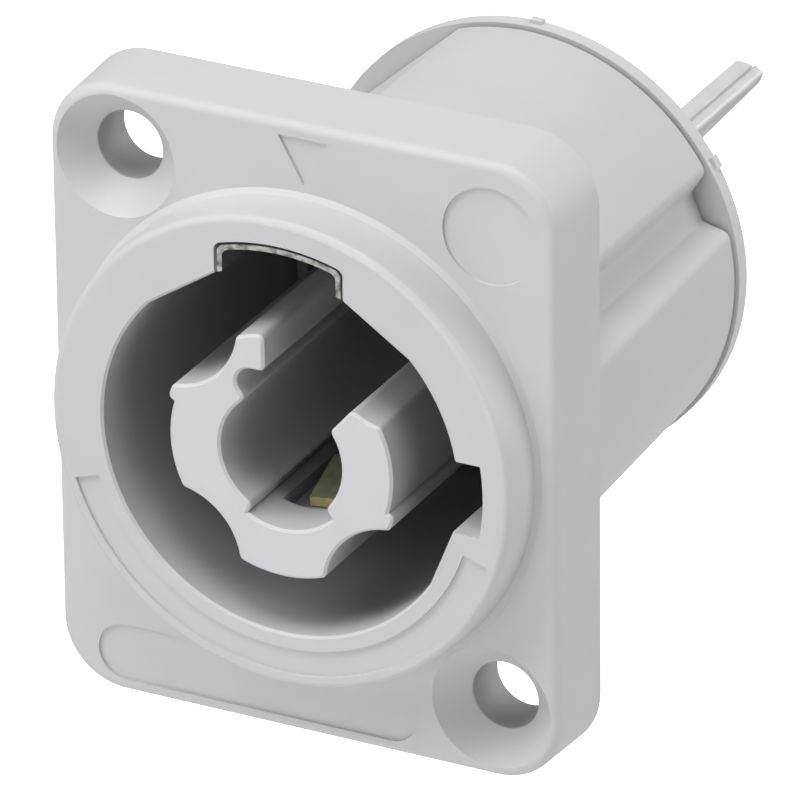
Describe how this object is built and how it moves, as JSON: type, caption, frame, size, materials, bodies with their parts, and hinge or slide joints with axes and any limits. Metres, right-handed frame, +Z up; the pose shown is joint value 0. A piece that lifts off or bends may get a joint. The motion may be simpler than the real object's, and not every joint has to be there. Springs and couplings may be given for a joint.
{
  "type": "panel mount power connector",
  "caption": "Panel mount power connector: square moulded flange, round twist-lock socket with a lobed core, tapered barrel and flat blade terminals at the back.",
  "frame": {"origin": "on the socket's axis, in the flange's rear face, which lies against the panel", "axes": "+Y back through the panel along the socket's axis, +Z up to the latch keyway, +X to the right seen from the front"},
  "size_m": [0.0262, 0.0373, 0.0314],
  "materials": {
    "grey_moulding": "light grey moulded plastic, fine satin",
    "grey_insert": "light grey moulded plastic, fine satin",
    "grey_cover": "light grey moulded plastic, fine satin",
    "strike_steel": "bright rolled spring steel",
    "contact_metal": "brass blades, tinned pale at the flat terminals"
  },
  "bodies": {
    "root": {"housing": "grey_moulding", "contact_carrier": "grey_insert", "rear_cover": "grey_cover", "latch_strike": "strike_steel", "line_contact": "contact_metal", "neutral_contact": "contact_metal", "earth_contact": "contact_metal"}
  },
  "joints": []
}
